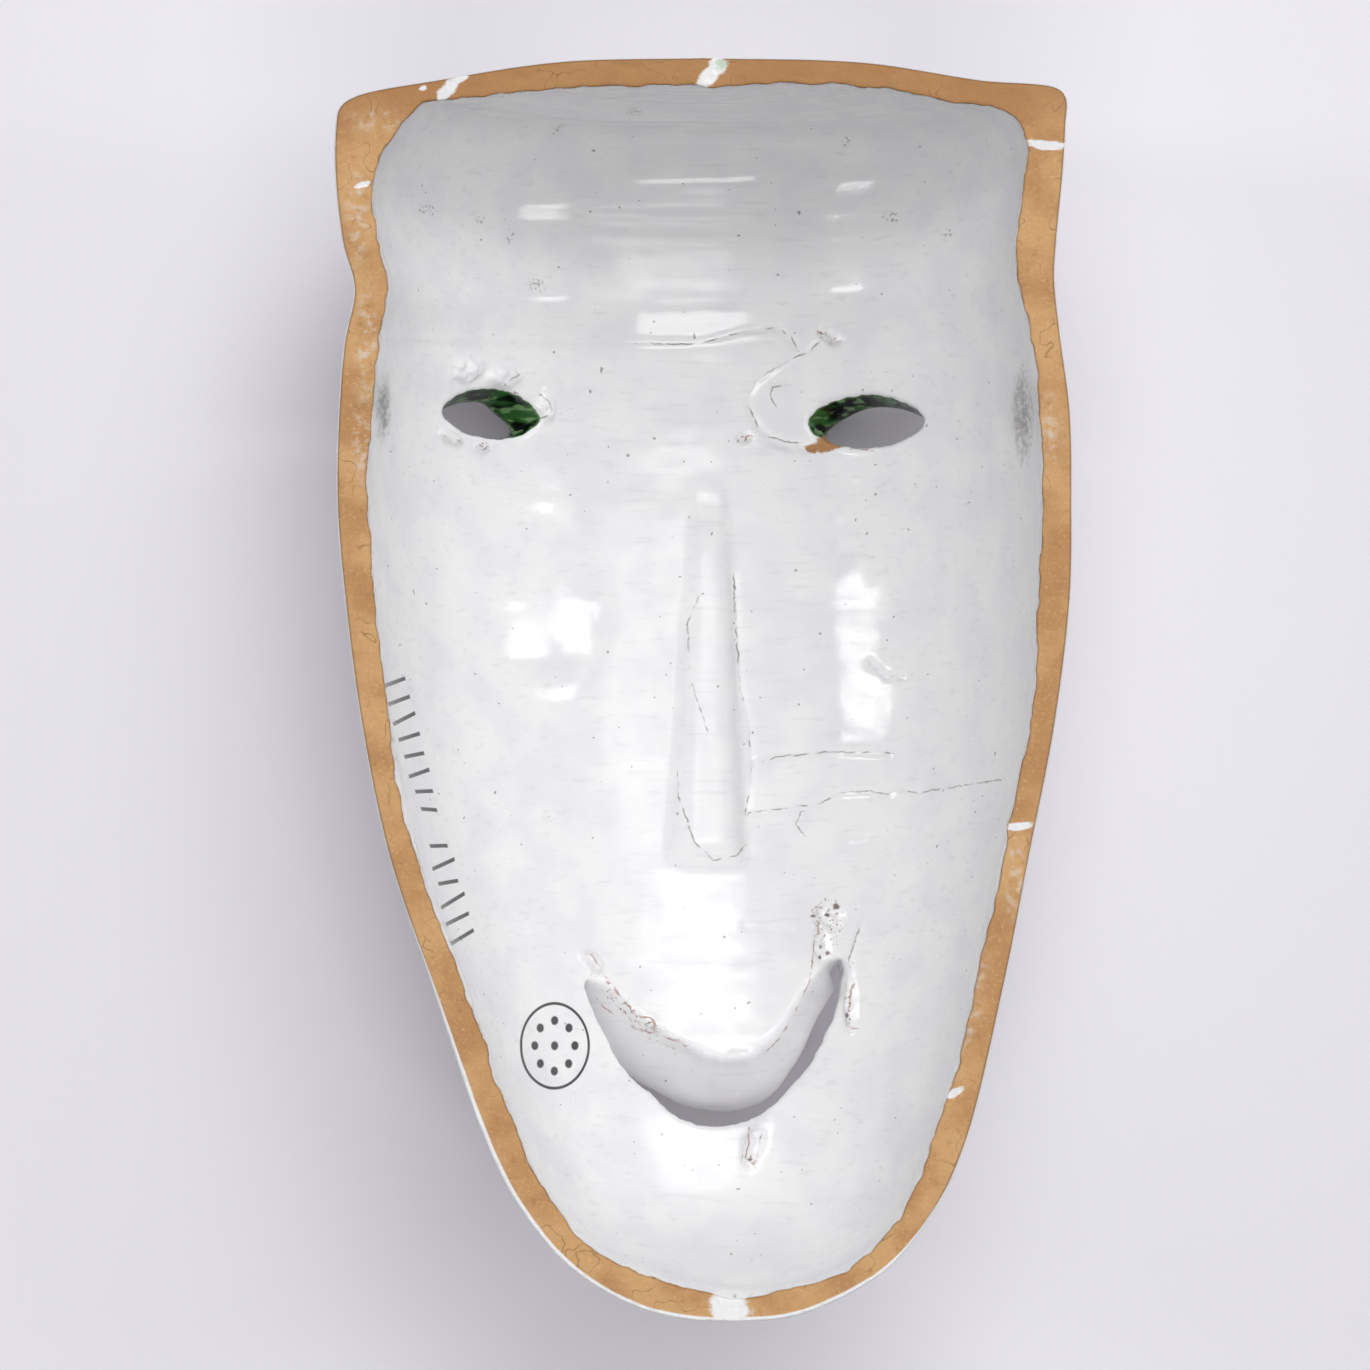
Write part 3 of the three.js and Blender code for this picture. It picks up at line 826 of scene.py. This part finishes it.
def inside_relief(x, y, depth):
    """How far the inside stands out of its smooth form, in millimetres."""
    u, v = seen_plan(x, y, depth)
    s = INNER.locate(x, y)
    level = np.interp(s, INNER.s, INNER.y)
    walk = np.interp(s, INNER.s, INNER.walk)
    places = np.stack([x, y, depth], 1)
    # The thrower's fingers left rings all the way down, clearer near the crown
    drift = 1.2 * cloud(places, 60, 5.0)
    rings = ripple(walk + drift, THROWING_WAVES, 4)
    clear = 0.35 + 0.65 * smoothstep(level, 125, 145) + 1.0 * smoothstep(level, 149, 153)
    rise = rings * clear * (0.7 + 0.6 * cloud(places, 38, 11.0))
    ahead = 0.35 + 0.65 * np.exp(-((x / 30) ** 2))
    for height, amount, width in RINGS:
        rise += amount * np.exp(-(((level + drift - height) / width) ** 2)) * ahead
    # The brow was pushed out from below, which left a soft step under the waist
    rise += 0.9 * smoothstep(level, 99, 111) * (1 - smoothstep(level, 118, 145))
    rise -= 0.7 * smoothstep(level, 84, 96.5)
    # Waves over the mouth, where the nose was joined
    middle = np.exp(-(((x - 2) / 26) ** 2))
    rise -= middle * (0.8 * smoothstep(y, -79, -72) + 0.8 * smoothstep(y, -96, -89) - 1.6)
    for cx, cy, rx, ry, height in SWELLINGS_INSIDE:
        rise += height * np.exp(-((x - cx) / rx) ** 2 - ((y - cy) / ry) ** 2)
    rise += clouds(places, UNEVENNESS)
    broken = 0.75 + 0.5 * cloud(places, 4, 7.0)
    for amount, width, line in RIDGE_LINES:
        rise += amount * broken * np.exp(-((line_distance(u, v, line) / (width / 2)) ** 2))
    crumbly = cloud(places, 2.2, 3.0)
    for place in LUMPS.values():
        far = in_spot(u, v, place) + 0.35 * crumbly
        rise += 1.7 * place[5] * (0.8 + 0.8 * crumbly) * smoothstep(1.05 - far, 0, 0.5)
    return rise


def new_object(name, data):
    """A new object in the scene."""
    thing = bpy.data.objects.new(name, data)
    bpy.context.scene.collection.objects.link(thing)
    return thing


def attribute(mesh, name, values):
    kind = "FLOAT_VECTOR" if values.ndim == 2 else "FLOAT"
    layer = mesh.attributes.new(name, kind, "POINT")
    layer.data.foreach_set("vector" if values.ndim == 2 else "value", values.astype(np.float32).ravel())


def build_mask():
    surface, loops = build_surface()
    add_walls(surface, loops)
    points, triangles, kinds = surface.join()
    depth = points[:, 2].copy()
    points[:, 2] = REST_DEPTH - depth
    edge = {kind: apart(points, points[loops[kind][0]]) for kind in (IN, OUT)}
    holes = np.concatenate([loop for kind in (IN, OUT) for loop in loops[kind][1:]])
    from_hole = apart(points, points[holes])
    seen = np.stack([*seen_plan(points[:, 0], points[:, 1], depth), np.zeros(len(points))], 1)

    # Relief runs out before the flat rim
    is_in = kinds == IN
    rise = inside_relief(points[is_in, 0], points[is_in, 1], depth[is_in])
    rise *= smoothstep(edge[IN][is_in], 0, 4)
    shaped = points.copy()
    shaped[is_in] += normals_of(points, triangles)[is_in] * rise[:, None]

    # The rim was cut by hand: its inner edge wanders, and its flat has nicks and low places
    near_edge = np.flatnonzero(edge[IN] < 4.5)
    spots = points[near_edge]
    wander = np.stack([clouds(spots, RIM_WANDER, seed) for seed in (41.0, 52.0)], 1)
    shaped[near_edge, :2] += wander * (1 - smoothstep(edge[IN][near_edge], 0.4, 4.5))[:, None]
    flat = np.flatnonzero((kinds == RIM) | (edge[IN] < 0.3))
    spots = points[flat]
    low_place = 0.28 * np.abs(cloud(spots, 7, 63.0)) + 0.22 * np.abs(cloud(spots, 2.6, 68.0))
    for place in NICKS.values():
        far = in_spot(spots[:, 0], spots[:, 1], place) + 0.3 * cloud(spots, 3, 71.0)
        low_place += place[5] * smoothstep(1.05 - far, 0, 0.4)
    shaped[flat, 2] -= low_place * smoothstep(edge[OUT][flat], 0.3, 1.5)

    # Edges are rounded, the holes' more than the rim's
    links = edges_of(triangles)
    shaped = relaxed(shaped, links, 0.5 * (np.minimum(edge[IN], edge[OUT]) < 0.3), 1)
    shaped = relaxed(shaped, links, 0.5 * (1 - smoothstep(from_hole, 0.8, 2.2)), 5)
    # A hair inside the CAD box, so that rounding can't put a point outside it
    shaped[:, :2] *= JUST_INSIDE

    mesh = bpy.data.meshes.new("mask")
    mesh.from_pydata((shaped * MM).tolist(), [], triangles.tolist())
    mesh.shade_smooth()
    crease, crease_near, crease_brown = crease_marks(seen[:, 0], seen[:, 1])
    inner_side = np.isin(kinds, (IN, CUT))
    stored = dict(
        spot=points,
        seen=seen,
        from_inner=np.where(inner_side, -edge[IN], edge[IN]),
        from_outer=np.where(kinds == OUT, -edge[OUT], edge[OUT]),
        in_wall=np.where(kinds == CUT, from_hole, -from_hole),
        outside=(kinds == OUT).astype(float),
        crease=crease,
        crease_near=crease_near * inner_side,
        crease_brown=crease_brown,
    )
    for name, places in PAINT.items():
        distances = [in_spot(seen[:, 0], seen[:, 1], place) for place in places]
        stored[name] = np.minimum(np.min(distances, axis=0), PAINT_REACH)
        # Only runs of glaze and smears go over the rim to the front
        if name not in ("white_runs", "smears"):
            stored[name][kinds == OUT] = PAINT_REACH
    for name, values in stored.items():
        attribute(mesh, name, values)
    return new_object("mask", mesh)


class Nodes:
    """Builds the nodes of a material or a world."""

    def __init__(self, owner):
        owner.use_nodes = True
        self.owner = owner
        self.tree = owner.node_tree
        self.tree.nodes.clear()

    def put(self, value, socket):
        if isinstance(value, bpy.types.NodeSocket):
            self.tree.links.new(value, socket)
        elif value is not None:
            socket.default_value = value

    def add(self, kind, output=0, **values):
        """A node of a kind. Capitalised names are its inputs, the others its settings."""
        node = self.tree.nodes.new("ShaderNode" + kind)
        for key in filter(str.islower, values):
            setattr(node, key, values[key])
        for key in values:
            if key[0].isupper():
                self.put(values[key], node.inputs[key.replace("_", " ")])
        return node.outputs[output]

    def math(self, operation, *values, kind="Math", output=0):
        node = self.tree.nodes.new("ShaderNode" + kind)
        node.operation = operation
        for slot, value in enumerate(values):
            self.put(value, node.inputs[slot])
        return node.outputs[output]

    def vector_math(self, operation, *values, output=0):
        return self.math(operation, *values, kind="VectorMath", output=output)

    def joined(self, operation, values):
        """Values joined two at a time, into their product, their greatest or their least."""
        result = values[0]
        for value in values[1:]:
            result = self.math(operation, result, value)
        return result

    def times(self, *values):
        return self.joined("MULTIPLY", values)

    def parts(self, vector):
        node = self.add("SeparateXYZ", Vector=vector).node
        return tuple(node.outputs)

    def mix(self, share, first, second):
        node = self.tree.nodes.new("ShaderNodeMix")
        node.data_type = "RGBA"
        for slot, value in ((0, share), (6, first), (7, second)):
            self.put(value, node.inputs[slot])
        return node.outputs[2]

    def layered(self, colour, *layers):
        """A colour with others laid over it, each as far as its mask says."""
        for mask, over in layers:
            colour = self.mix(mask, colour, over if isinstance(over, bpy.types.NodeSocket) else srgb(*over))
        return colour

    def step(self, value, low, high, to_low=0.0, to_high=1.0):
        return self.add("MapRange", interpolation_type="SMOOTHSTEP", Value=value, From_Min=low,
                        From_Max=high, To_Min=to_low, To_Max=to_high)

    def noise(self, place, size, detail=2.0, roughness=0.5):
        return self.add("TexNoise", Vector=place, Scale=1 / size, Detail=detail, Roughness=roughness)

    def value(self, name):
        return self.add("Attribute", 2, attribute_name=name)

    def vector(self, name):
        return self.add("Attribute", 1, attribute_name=name)

    def finish(self, kind, surface):
        output = self.tree.nodes.new("ShaderNodeOutput" + kind)
        self.put(surface, output.inputs[0])
        return self.owner


def srgb(red, green, blue):
    """A colour as it was read off a screen, turned to the linear one of the shader."""
    parts = [c / 255 for c in (red, green, blue)]
    return (*(c / 12.92 if c < 0.04045 else ((c + 0.055) / 1.055) ** 2.4 for c in parts), 1)


class MaskNodes(Nodes):
    """Masks and marks of the mask's one material."""

    def __init__(self, owner):
        super().__init__(owner)
        self.spot = self.vector("spot")
        self.seen = self.vector("seen")

    def framed(self, place, turn, scale):
        """The seen place in a frame of its own."""
        return self.add("Mapping", vector_type="TEXTURE", Vector=self.seen, Location=(*place, 0),
                        Rotation=(0, 0, turn), Scale=scale)

    def painted(self, name, ragged, soft=0.2):
        """A mask for the stored spots of one paint, with ragged edges."""
        return self.step(self.math("ADD", self.value(name), ragged), 1 + soft, 1 - soft)

    def strokes(self):
        """Short plain strokes in a row, one in each cell of a line."""
        start, end = (plan(*pixel) for pixel in STROKE_LINE)
        run = float(np.linalg.norm(end - start))
        turn = math.atan2(end[1] - start[1], end[0] - start[0])
        along, across, _ = self.parts(self.framed(start, turn, (1, 1, 1)))
        pitch = run / STROKES
        cell = self.math("FLOOR", self.math("DIVIDE", along, pitch))
        chance = self.add("TexWhiteNoise", noise_dimensions="1D", W=self.math("ADD", cell, STROKE_SEED))
        middle = self.math("MULTIPLY_ADD", cell, pitch, pitch / 2)
        lean = self.math("MULTIPLY_ADD", chance, 0.7, -0.35)
        slanted = self.math("MULTIPLY_ADD", across, lean, self.math("SUBTRACT", along, middle))
        thin = self.step(self.math("ABSOLUTE", slanted), 0.65, 0.4)
        tall = self.step(self.math("ABSOLUTE", across), self.math("MULTIPLY_ADD", chance, 1.3, 2.2),
                         self.math("MULTIPLY_ADD", chance, 1.3, 1.9))
        within = self.times(self.math("GREATER_THAN", along, 0), self.math("LESS_THAN", along, run))
        within = self.math("SUBTRACT", within, self.math("COMPARE", cell, STROKE_GAP, 0.1))
        return self.times(thin, tall, within)

    def ring_with_dots(self):
        """A plain ring with eight dots and one in the middle."""
        px, py, half_x, half_y = RING_PLACE
        local = self.framed(plan(px, py), 0, (half_x * PLAN_SCALE, half_y * PLAN_SCALE, 1))
        far = self.vector_math("LENGTH", local, output=1)
        line = self.step(self.math("ABSOLUTE", self.math("SUBTRACT", far, 0.94)), 0.045, 0.02)
        for index in range(RING_DOTS):
            turn = math.tau * index / RING_DOTS
            middle = (0.56 * math.cos(turn), 0.56 * math.sin(turn), 0)
            far = self.math("MINIMUM", far, self.vector_math("DISTANCE", local, middle, output=1))
        return self.math("MAXIMUM", line, self.step(far, 0.12, 0.08))


def glazed_clay():
    nodes = MaskNodes(bpy.data.materials.new("glazed_clay"))
    math_, mix, step, times, painted = nodes.math, nodes.mix, nodes.step, nodes.times, nodes.painted
    spot = nodes.spot
    x, y, _ = nodes.parts(spot)
    from_inner = nodes.value("from_inner")
    from_outer = nodes.value("from_outer")
    in_wall = nodes.value("in_wall")
    outside = nodes.value("outside")
    in_hollow = step(outside, 0.5, 0.4)

    fine = nodes.noise(spot, 0.9, 3)
    small = nodes.noise(spot, 2.6, 4, 0.6)
    broad = nodes.noise(spot, 14, 2)
    ragged = math_("MULTIPLY_ADD", small, 1.1, -0.55)

    # Where the clay is bare: the rim between its glazed edges, and a few chips
    lower_left = step(math_("ADD", times(x, -0.45), times(y, -0.9)), 85, 125)
    glaze_edge = math_("ADD", lower_left, 0.1)
    on_rim = times(step(math_("ADD", from_inner, times(ragged, 0.7)), -0.1, 0.2),
                   step(math_("SUBTRACT", from_outer, glaze_edge), -0.05, 0.35))
    chips = painted("bare_spots", times(ragged, 1.3))
    is_clay = math_("MAXIMUM", times(on_rim, math_("SUBTRACT", 1.0, painted("white_runs", ragged))),
                    times(chips, in_hollow))

    # Fired clay: mottled, scratched along the rim, smeared with thin glaze
    smear = times(painted("smears", ragged, 0.5), step(small, 0.45, 0.7, 0, 0.6))
    crack = math_("ABSOLUTE", math_("SUBTRACT", nodes.noise(spot, 8, 1.5), 0.5))
    crack = times(step(crack, 0.01, 0.003), step(broad, 0.5, 0.6), 0.5)
    dark_edge = times(step(from_outer, 1.0, 0.35), math_("SUBTRACT", 1.0, lower_left), 0.7)
    clay = nodes.layered(
        mix(step(broad, 0.35, 0.65), srgb(186, 138, 90), srgb(208, 163, 112)),
        (step(fine, 0.5, 0.8, 0, 0.5), (226, 184, 132)),
        (step(small, 0.42, 0.2, 0, 0.5), (150, 104, 62)),
        (step(y, 140, 158, 0, 0.75), (172, 124, 76)),
        (smear, (226, 216, 204)),
        (crack, (128, 86, 52)),
        (dark_edge, (112, 82, 56)),
        # The darker brown line along the inner edge is partly the clay's own edge by the glaze and partly
        # painted shade where the rim drops into the hollow
        (step(from_inner, 0.9, 0.1, 0, 0.45), (132, 90, 54)),
    )

    # White glaze: nearly even, streaked along the throwing rings, thin in places
    stretched = nodes.add("Mapping", vector_type="POINT", Vector=spot, Rotation=(0, 0, math.radians(-3)),
                          Scale=(0.05, 1, 0.6))
    streak = nodes.noise(stretched, 1.6, 2)
    grey = times(painted("grey_patches", ragged, 0.4), step(streak, 0.35, 0.6, 0.2, 0.8))
    dark_marks = step(nodes.noise(spot, 1.6, 0), 0.835, 0.875, 0, 0.6)
    specks = times(painted("speckled", ragged, 0.3), step(nodes.noise(spot, 1.1, 2, 0.7), 0.58, 0.64), 0.75)
    crumbs = times(painted("crumbs", ragged, 0.3), step(fine, 0.5, 0.62, 0, 0.6))
    # Thin creases: the grey ones are painted shade along steps, folds and cracks, and the brown ones are
    # clay showing through
    crease = math_("ABSOLUTE", math_("MULTIPLY_ADD", ragged, 1.3, nodes.value("crease")))
    crease = times(step(crease, 0.3, 0.1), nodes.value("crease_near"),
                   step(nodes.noise(spot, 4.2, 1.5, 0.7), 0.42, 0.6, 0.05, 0.75))
    crease_shade_and_clay_colour = mix(nodes.value("crease_brown"), srgb(138, 128, 122), srgb(158, 108, 78))
    flecks = math_("MULTIPLY_ADD", fine, 1.2, -0.6)
    ink = times(math_("MAXIMUM", nodes.strokes(), nodes.ring_with_dots()), in_hollow, 0.93)

    # Green and black glaze on the eyes' cut walls, and brushed round them in front
    eye_side = step(y, 20, 30)
    eye_wall = times(step(math_("ADD", in_wall, ragged), 0.1, 0.6), eye_side)
    brushed = times(step(in_wall, -17, -14), outside, eye_side)
    along_cut = nodes.add("Mapping", vector_type="POINT", Vector=spot, Rotation=(0, 0.5, 0.2),
                          Scale=(0.45, 1, 0.5))
    eye_colour = nodes.layered(
        mix(step(nodes.noise(along_cut, 3.2, 1.5), 0.42, 0.62), srgb(9, 12, 11), srgb(48, 92, 44)),
        (step(nodes.noise(along_cut, 2.1, 1.5), 0.52, 0.66, 0, 0.7), (128, 166, 114)),
        (step(in_wall, 1.6, 0.4, 0, 0.45), (120, 158, 108)),
        (step(outside, 0.4, 0.6), (14, 20, 18)),
    )
    glaze = nodes.layered(
        mix(step(broad, 0.3, 0.7), srgb(232, 231, 233), srgb(240, 239, 239)),
        (step(streak, 0.55, 0.75, 0, 0.32), (212, 211, 212)),
        (grey, (168, 168, 168)),
        (dark_marks, (92, 84, 78)),
        (specks, (136, 92, 66)),
        (crumbs, (134, 126, 122)),
        (crease, crease_shade_and_clay_colour),
        (times(painted("dark_specks", flecks, 0.4), 0.85), (84, 56, 42)),
        (ink, (28, 28, 32)),
        (math_("MAXIMUM", eye_wall, brushed), eye_colour),
        (times(painted("tints", ragged, 0.5), 0.5), (150, 190, 140)),
    )

    rough = mix(is_clay, (0.13, 0.13, 0.13, 1), (0.85, 0.85, 0.85, 1))
    bare = step(from_inner, -0.3, 0.3)
    height = times(small, math_("MULTIPLY_ADD", bare, 0.5, 0.04))
    bump = nodes.add("Bump", Height=height, Strength=0.8, Distance=MM)
    shader = nodes.add("BsdfPrincipled", Base_Color=mix(is_clay, glaze, clay), Roughness=rough, Normal=bump)
    return nodes.finish("Material", shader)


def ground():
    nodes = Nodes(bpy.data.materials.new("ground"))
    shader = nodes.add("BsdfPrincipled", Base_Color=srgb(237, 234, 240), Roughness=0.8)
    return nodes.finish("Material", shader)


def add_floor():
    mesh = bpy.data.meshes.new("floor")
    corners = [(x * FLOOR_HALF, y * FLOOR_HALF, 0) for x, y in ((-1, -1), (1, -1), (1, 1), (-1, 1))]
    mesh.from_pydata(corners, [], [(0, 1, 2, 3)])
    mesh.materials.append(ground())
    new_object("floor", mesh)


def add_camera():
    data = bpy.data.cameras.new("camera")
    data.sensor_width = SENSOR
    data.lens = SENSOR * CAMERA_HEIGHT / (FRAME_PIXELS * PLAN_SCALE)
    camera = new_object("camera", data)
    camera.location = (CAMERA[0] * MM, CAMERA[1] * MM, (REST_DEPTH + CAMERA_HEIGHT) * MM)
    bpy.context.scene.camera = camera


def add_light(name, lean_x, lean_y, distance, size, brightness):
    """A softbox that leans from overhead by its degrees towards +X and +Y, aimed at the mask."""
    across, along = math.tan(math.radians(lean_x)), math.tan(math.radians(lean_y))
    direction = Vector((across, along, 1)).normalized()
    side = Vector((0, 1, 0)).cross(direction).normalized()
    data = bpy.data.lights.new(name, "AREA")
    data.shape = "RECTANGLE"
    data.size, data.size_y = size
    data.energy = brightness * math.pi * size[0] * size[1]
    light = new_object(name, data)
    light.location = direction * distance + Vector((0, 0, AIM_HEIGHT))
    turn = Matrix((side, direction.cross(side), direction)).transposed()
    light.rotation_euler = turn.to_euler()


def add_room():
    """The room is dark along the horizon, brighter overhead and brightest round the key light."""
    world = bpy.data.worlds.new("room")
    nodes = Nodes(world)
    way = nodes.add("TexCoord")
    overhead = nodes.add("MapRange", Value=nodes.parts(way)[2], From_Min=0.15, To_Max=0.18)
    towards_key = nodes.vector_math("DOT_PRODUCT", way, Vector(KEY_WAY).normalized(), output=1)
    glow = nodes.math("POWER", nodes.math("MAXIMUM", towards_key, 0), 8)
    strength = nodes.math("MULTIPLY_ADD", glow, 1.5, overhead)
    bpy.context.scene.world = nodes.finish("World", nodes.add(
        "Background", Color=(0.97, 0.98, 1, 1), Strength=strength))


add_camera()
add_room()
for name, light in LIGHTS.items():
    add_light(name, *light)
bpy.context.scene.view_settings.view_transform = "Standard"
add_floor()
mask = build_mask()
mask.data.materials.append(glazed_clay())
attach(mask, "root")
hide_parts("mask_shell")
